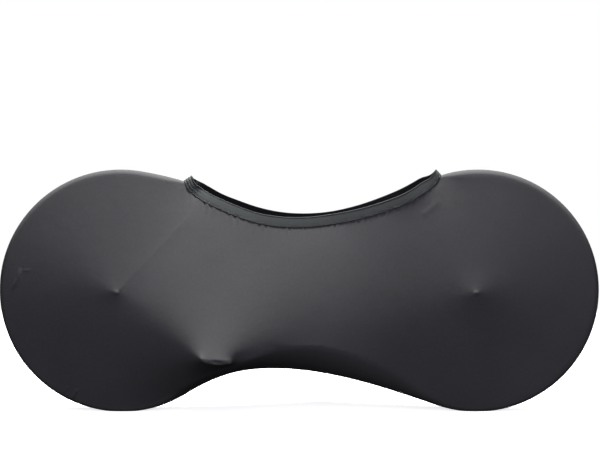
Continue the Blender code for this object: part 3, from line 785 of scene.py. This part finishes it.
def band_profile():
    """The band's section: shares of its width and of its thickness, ribbed on the outer side."""
    share = np.linspace(BAND_SIDE, 1 - BAND_SIDE, BAND_POINTS_PER_RIB * BAND_RIBS + 1)
    rib = 0.5 - 0.5 * np.cos(2 * math.pi * share * BAND_RIBS)
    proud = BAND_EDGE_HEIGHT + BAND_FIELD_HEIGHT * smooth_step(share / BAND_FIELD_FROM)
    proud += BAND_RIB_HEIGHT * rib
    for strip in BAND_RELIEF:
        proud += strip["height"] * np.exp(-(((share - strip["place"]) / strip["width"]) ** 2))
    outer = np.c_[share, proud]
    top = [[1.0, 0.75], [1.0, 0.25]]
    inner_share = np.linspace(1 - BAND_SIDE, BAND_SIDE, BAND_INNER_POINTS)
    inner = np.c_[inner_share, np.zeros(BAND_INNER_POINTS)]
    bottom = [[0.0, 0.08], [0.0, 0.24]]
    return np.r_[outer, top, inner, bottom], len(outer)


def make_band(outer_material, inner_painted_shade_material):
    """The elastic band as one closed strip round the mouth, in place of its solid."""
    rng = np.random.default_rng(BAND_SEED)
    loop, rise, width, out = band_loop()
    profile, outer_count = band_profile()
    along = travel(np.r_[loop, loop[:1]])[:-1]
    whole = along[-1] + np.linalg.norm(loop[0] - loop[-1])
    turns = 2 * math.pi * along / whole
    uneven = sum(
        rng.uniform(0.5, 1) * np.sin(turns * count + rng.uniform(*FIRST_PHASES))
        for count in BAND_WAVES
    )
    uneven_above = np.roll(uneven, BAND_RIPPLE_SHIFT)
    gathered = np.exp(-np.minimum(along, whole - along) / BAND_GATHER_LENGTH)
    vertices, places = [], []
    for share, proud in profile:
        bow = BAND_BOW * 4 * share * (1 - share)
        bow += BAND_GATHER * gathered * math.sin(2 * math.pi * BAND_GATHERS * share)
        ripple = BAND_RIPPLE["lower_edge"] * uneven * (1 - share) ** 2
        ripple += BAND_RIPPLE["upper_edge"] * uneven_above * share
        start = SEWN_GAP + share * (width - SEWN_GAP)
        height = SEWN_GAP + BAND_THICK * proud + bow + ripple
        vertices.append(loop + rise * start[:, None] + out * height[:, None])
        places.append(np.c_[along, np.full(len(along), share * BAND_WIDTH)])
    rows, count = len(profile), len(loop)
    faces = []
    for row in range(rows):
        after = (row + 1) % rows
        for i in range(count):
            j = (i + 1) % count
            faces.append((row * count + i, row * count + j, after * count + j, after * count + i))
    obj = mesh_object("elastic_band_sheet", np.concatenate(vertices), faces, np.concatenate(places))
    obj.data.materials.append(outer_material)
    obj.data.materials.append(inner_painted_shade_material)
    # The faces on the band's inner side get the darker copy of the elastic, which is painted shade.
    for polygon in obj.data.polygons:
        if polygon.index // count >= outer_count + 1:
            polygon.material_index = 1
    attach(obj, "root")
    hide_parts("elastic_band")


# Stitches


def thread_runs(starts, ends, normals, thick, arch):
    """Short arched threads from each start to each end, as one mesh's points and faces."""
    sides = THREAD_SIDES
    across = unit(np.cross(unit(ends - starts), normals))
    rings = []
    for share in THREAD_SHARES:
        arched = arch * 4 * share * (1 - share)
        middle = starts + (ends - starts) * share + normals * arched[..., None]
        swollen = min(1, 4 * share * (1 - share) * THREAD_SWELL)
        slim = thick / 2 * (THREAD_END + (1 - THREAD_END) * swollen)
        for side in range(sides):
            angle = 2 * math.pi * side / sides
            rings.append(middle + slim * (across * math.cos(angle) + normals * math.sin(angle)))
    points = np.stack(rings, 1)
    per = len(THREAD_SHARES) * sides
    faces = []
    for base in range(0, len(starts) * per, per):
        for ring in range(len(THREAD_SHARES) - 1):
            for side in range(sides):
                a = base + ring * sides + side
                b = base + ring * sides + (side + 1) % sides
                faces.append((a, a + sides, b + sides, b))
        faces.append(tuple(base + side for side in range(sides)))
        faces.append(tuple(base + per - 1 - side for side in range(sides)))
    return points.reshape(-1, 3), faces


def at_length(along, rows, wanted):
    """Rows of values read at these lengths along a line."""
    return np.stack([np.interp(wanted, along, column) for column in rows.T], 1)


def make_band_stitches(material):
    """Two rows of straight stitches round the band, near its lower edge."""
    loop, rise, width, out = band_loop()
    closed = np.r_[loop, loop[:1]]
    along = travel(closed)
    facts = np.c_[closed, np.r_[rise, rise[:1]], np.r_[out, out[:1]], np.r_[width, width[:1]]]
    all_points, all_faces = [], []
    for share, first in zip(STITCH_ROWS, STITCH_STARTS):
        starts_at = np.arange(0, along[-1] - STITCH_PITCH, STITCH_PITCH) + first
        ends = []
        for at in (starts_at, starts_at + STITCH_LENGTH):
            values = at_length(along, facts, at)
            up, away, wide = values[:, 3:6], values[:, 6:9], values[:, 9:]
            bow = BAND_BOW * 4 * share * (1 - share)
            height = SEWN_GAP + BAND_THICK * STITCH_SEAT + bow
            ends.append(values[:, :3] + up * (SEWN_GAP + share * (wide - SEWN_GAP)) + away * height)
        arch = np.full(len(away), STITCH_ARCH)
        points, faces = thread_runs(*ends, unit(away), STITCH_THICK, arch)
        offset = sum(len(p) for p in all_points)
        all_points.append(points)
        all_faces += [tuple(i + offset for i in face) for face in faces]
    obj = mesh_object("band_stitches", np.concatenate(all_points), all_faces)
    obj.data.materials.append(material)
    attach(obj, "root")


def make_seam_stitches(material):
    """The overlocked seam: threads that zigzag over the middle plane all round the outline."""
    points, inward, out, up = outline("near")
    along = travel(points)
    facts = np.c_[points, inward, out, up]
    at = np.arange(SEAM_ENDS, along[-1] - SEAM_ENDS, SEAM_PITCH)
    values = at_length(along, facts, at)
    sign = np.where(np.arange(len(at)) % 2, 1.0, -1.0)
    tilt = np.arcsin(np.clip(SEAM_HALF_WIDTH / values[:, 4], -1, 1))
    inset = values[:, 5] * (1 - np.cos(tilt)) - SEAM_SINK
    place = values[:, :2] + values[:, 2:4] * inset[:, None]
    turns = np.c_[place[:, 0], sign * SEAM_HALF_WIDTH, place[:, 1]]
    away = unit(np.c_[-values[:, 2], np.zeros(len(at)), -values[:, 3]])
    arch = 0.5 * inset[:-1] + SEAM_ARCH
    points, faces = thread_runs(turns[:-1], turns[1:], away[:-1], SEAM_THICK, arch)
    points[:, 2] = np.maximum(points[:, 2], THREAD_OVER_FLOOR)
    obj = mesh_object("seam_stitches", points, faces)
    obj.data.materials.append(material)
    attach(obj, "root")


# Materials

KNIT_DARK = (0.035, 0.035, 0.038)
KNIT_LIGHT = (0.065, 0.064, 0.067)
ELASTIC_DARK = (0.020, 0.023, 0.024)
ELASTIC_LIGHT = (0.037, 0.041, 0.042)
# The band's inner face is the same elastic, painted much darker than its outer face: painted shade
# for the shade inside the mouth.
INSIDE_PAINTED_SHADE_DARK = (0.004, 0.0045, 0.006)
INSIDE_PAINTED_SHADE_LIGHT = (0.008, 0.009, 0.011)
THREAD_DARK = (0.02, 0.02, 0.021)
THREAD_LIGHT = (0.05, 0.05, 0.052)
FLOOR_COLOUR = (0.86, 0.86, 0.87)


class Material:
    """A small helper that adds nodes to one material and joins them."""

    def __init__(self, name):
        self.material = bpy.data.materials.new(name)
        self.material.use_nodes = True
        self.nodes = self.material.node_tree.nodes
        self.links = self.material.node_tree.links
        self.shader = self.nodes["Principled BSDF"]

    def node(self, kind, inputs=(), **settings):
        """A new node, whose inputs are set to values or joined to sockets."""
        made = self.nodes.new(kind)
        for key, value in settings.items():
            setattr(made, key, value)
        for key, value in dict(inputs).items():
            if isinstance(value, bpy.types.NodeSocket):
                self.links.new(value, made.inputs[key])
            else:
                made.inputs[key].default_value = value
        return made

    def join(self, socket, name):
        self.links.new(socket, self.shader.inputs[name])

    def set(self, values):
        """Sets the shader's own sockets."""
        for name, value in values.items():
            self.shader.inputs[name].default_value = value

    def between(self, share, first, second):
        """A colour between two, by this share."""
        inputs = {"Factor": share, "A": (*first, 1), "B": (*second, 1)}
        return self.node("ShaderNodeMix", inputs, data_type="RGBA").outputs["Result"]

    def math(self, operation, first, second):
        return self.node("ShaderNodeMath", {0: first, 1: second}, operation=operation).outputs[0]

    def noise(self, place, scale, detail, roughness=0.5):
        inputs = {"Vector": place, "Scale": scale, "Detail": detail, "Roughness": roughness}
        return self.node("ShaderNodeTexNoise", inputs).outputs["Fac"]

    def bands(self, place, way, scale, distortion, detail_scale):
        """Fine parallel ribs across X or Y of the flat cloth."""
        inputs = {"Vector": place, "Scale": scale, "Distortion": distortion, "Detail": 1.0}
        inputs["Detail Scale"] = detail_scale
        made = self.node("ShaderNodeTexWave", inputs, wave_type="BANDS", bands_direction=way)
        return made.outputs["Fac"]

    def spread(self, value, low, high):
        """A value from 0 to 1, spread between two others."""
        inputs = {"Value": value, "To Min": low, "To Max": high}
        return self.node("ShaderNodeMapRange", inputs).outputs["Result"]

    def bump(self, height, strength, distance, over=None):
        """A bumped normal, over another one if that is given."""
        inputs = {"Height": height, "Strength": strength, "Distance": distance}
        if over is not None:
            inputs["Normal"] = over
        return self.node("ShaderNodeBump", inputs).outputs["Normal"]


def knit_material():
    """Charcoal stretch jersey: fine ribs of stitches, a soft sheen and slight cloudiness."""
    m = Material("stretch_knit")
    place = m.node("ShaderNodeTexCoord")
    flat = place.outputs["UV"]
    cloudy = m.noise(place.outputs["Object"], scale=5.0, detail=4.0, roughness=0.55)
    mottled = m.noise(flat, scale=130.0, detail=4.0)
    share = m.math("MULTIPLY", m.math("ADD", cloudy, mottled), 0.5)
    m.join(m.between(share, KNIT_DARK, KNIT_LIGHT), "Base Color")
    m.join(m.spread(mottled, low=0.80, high=0.92), "Roughness")
    m.set({"Sheen Weight": 0.03, "Sheen Roughness": 0.45, "Specular IOR Level": 0.12})
    slack = m.noise(flat, scale=28.0, detail=3.0)
    slack = m.bump(slack, strength=0.40, distance=0.0012)
    ribs = m.bands(flat, "X", scale=314.0, distortion=0.6, detail_scale=2.0)
    courses = m.bands(flat, "Y", scale=420.0, distortion=0.8, detail_scale=2.0)
    knit = m.math("MULTIPLY", ribs, courses)
    m.join(m.bump(knit, strength=0.35, distance=0.00025, over=slack), "Normal")
    return m.material


def elastic_material(name, dark, light, rough):
    """Ribbed elastic: ribs along its length, short cross threads and a slight gloss."""
    m = Material(name)
    flat = m.node("ShaderNodeTexCoord").outputs["UV"]
    stretched = m.node("ShaderNodeMapping", {"Vector": flat, "Scale": (1.0, 6.0, 1.0)})
    streaks = m.noise(stretched.outputs[0], scale=60.0, detail=4.0)
    m.join(m.between(streaks, dark, light), "Base Color")
    m.join(m.spread(streaks, low=rough, high=rough + 0.15), "Roughness")
    m.set({"Sheen Weight": 0.04, "Specular IOR Level": 0.2})
    threads = m.bands(flat, "X", scale=260.0, distortion=1.0, detail_scale=1.0)
    ribs = m.bands(flat, "Y", scale=200.0, distortion=0.5, detail_scale=1.0)
    m.join(m.bump(m.math("ADD", threads, ribs), strength=0.4, distance=0.0002), "Normal")
    return m.material


def thread_material():
    """Black sewing thread with a fine twist."""
    m = Material("black_thread")
    body = m.node("ShaderNodeTexCoord").outputs["Object"]
    twist = m.noise(body, scale=900.0, detail=2.0)
    m.join(m.between(twist, THREAD_DARK, THREAD_LIGHT), "Base Color")
    m.set({"Roughness": 0.5})
    return m.material


def floor_material():
    """A plain pale floor that glows a little, so that it stays as white as the backdrop."""
    m = Material("pale_floor")
    m.set({"Base Color": (*FLOOR_COLOUR, 1), "Roughness": 0.85, "Specular IOR Level": 0.1})
    m.set({"Emission Color": (1.0, 1.0, 1.0, 1), "Emission Strength": 0.8})
    return m.material


# The stage

CAMERA_AT = (0.0, -5.2, 0.9)
CAMERA_AIM = (0.0019, 0.0, 0.5212)
CAMERA_LENS = 112.65
CAMERA_SENSOR = 36.0
FLOOR_HALF_LENGTH = 3.0
FLOOR_FRONT = -3.5
FLOOR_BACK = 2.4
FLOOR_BELOW = 0.0002
WORLD_LIGHT = 0.03  # what the white backdrop adds to the softboxes
LIGHTS = [
    {
        "name": "overhead_softbox",
        "at": (-0.02, -0.1, 2.6),
        "aim": (-0.02, -0.1, 0),
        "size": (0.8, 0.35),
        "watts": 236,
        "colour": (1.0, 0.998, 0.97),
    },
    {
        "name": "front_softbox",
        "at": (0.0, -6.5, 6.3),
        "aim": (0.0, 0, 6.3),
        "size": (5.0, 10.0),
        "watts": 605,
        "colour": (0.91, 0.88, 1.0),
    },
]


def place_towards(obj, at, aim):
    """Puts a camera or a light at its place, turned towards its aim."""
    obj.location = at
    obj.rotation_euler = (Vector(aim) - Vector(at)).to_track_quat("-Z", "Y").to_euler()
    bpy.context.scene.collection.objects.link(obj)


def make_camera():
    """The view: straight at the near side, from a little above."""
    data = bpy.data.cameras.new("camera")
    data.lens = CAMERA_LENS
    data.sensor_width = CAMERA_SENSOR
    camera = bpy.data.objects.new("camera", data)
    place_towards(camera, CAMERA_AT, CAMERA_AIM)
    bpy.context.scene.camera = camera


def make_soft_light(name, at, aim, size, watts, colour):
    data = bpy.data.lights.new(name, "AREA")
    data.shape = "RECTANGLE"
    data.size, data.size_y = size
    data.energy = watts
    data.color = colour
    place_towards(bpy.data.objects.new(name, data), at, aim)


def make_floor():
    mesh = bpy.data.meshes.new("floor")
    corners = [(-FLOOR_HALF_LENGTH, FLOOR_FRONT), (FLOOR_HALF_LENGTH, FLOOR_FRONT)]
    corners += [(FLOOR_HALF_LENGTH, FLOOR_BACK), (-FLOOR_HALF_LENGTH, FLOOR_BACK)]
    mesh.from_pydata([(x, y, -FLOOR_BELOW) for x, y in corners], [], [(0, 1, 2, 3)])
    floor = bpy.data.objects.new("floor", mesh)
    bpy.context.scene.collection.objects.link(floor)
    mesh.materials.append(floor_material())
    # The floor throws no light back on the cloth, whose underside is nearly black.
    floor.visible_diffuse = False
    floor.visible_glossy = False
    floor.visible_shadow = False


def make_world():
    """A white backdrop for the camera, which lights the cover only a little."""
    world = bpy.data.worlds.new("studio")
    world.use_nodes = True
    nodes, links = world.node_tree.nodes, world.node_tree.links
    background = nodes["Background"]
    background.inputs["Color"].default_value = (1.0, 1.0, 1.0, 1)
    path = nodes.new("ShaderNodeLightPath")
    strength = nodes.new("ShaderNodeMapRange")
    strength.inputs["To Min"].default_value = WORLD_LIGHT
    strength.inputs["To Max"].default_value = 1.0
    links.new(path.outputs["Is Camera Ray"], strength.inputs["Value"])
    links.new(strength.outputs["Result"], background.inputs["Strength"])
    bpy.context.scene.world = world
    bpy.context.scene.view_settings.view_transform = "Standard"


def main():
    cloth = knit_material()
    elastic = elastic_material("ribbed_elastic", ELASTIC_DARK, ELASTIC_LIGHT, rough=0.60)
    # A darker copy of the elastic for the band's inner face: painted shade.
    inside = elastic_material("elastic_inside_painted_shade", INSIDE_PAINTED_SHADE_DARK, INSIDE_PAINTED_SHADE_LIGHT, rough=0.70)
    thread = thread_material()
    make_panel("near_cloth", "near", "near_side_panel", cloth)
    make_panel("far_cloth", "far", "far_side_panel", cloth)
    make_band(elastic, inside)
    make_band_stitches(thread)
    make_seam_stitches(thread)
    make_camera()
    for light in LIGHTS:
        make_soft_light(**light)
    make_floor()
    make_world()


main()
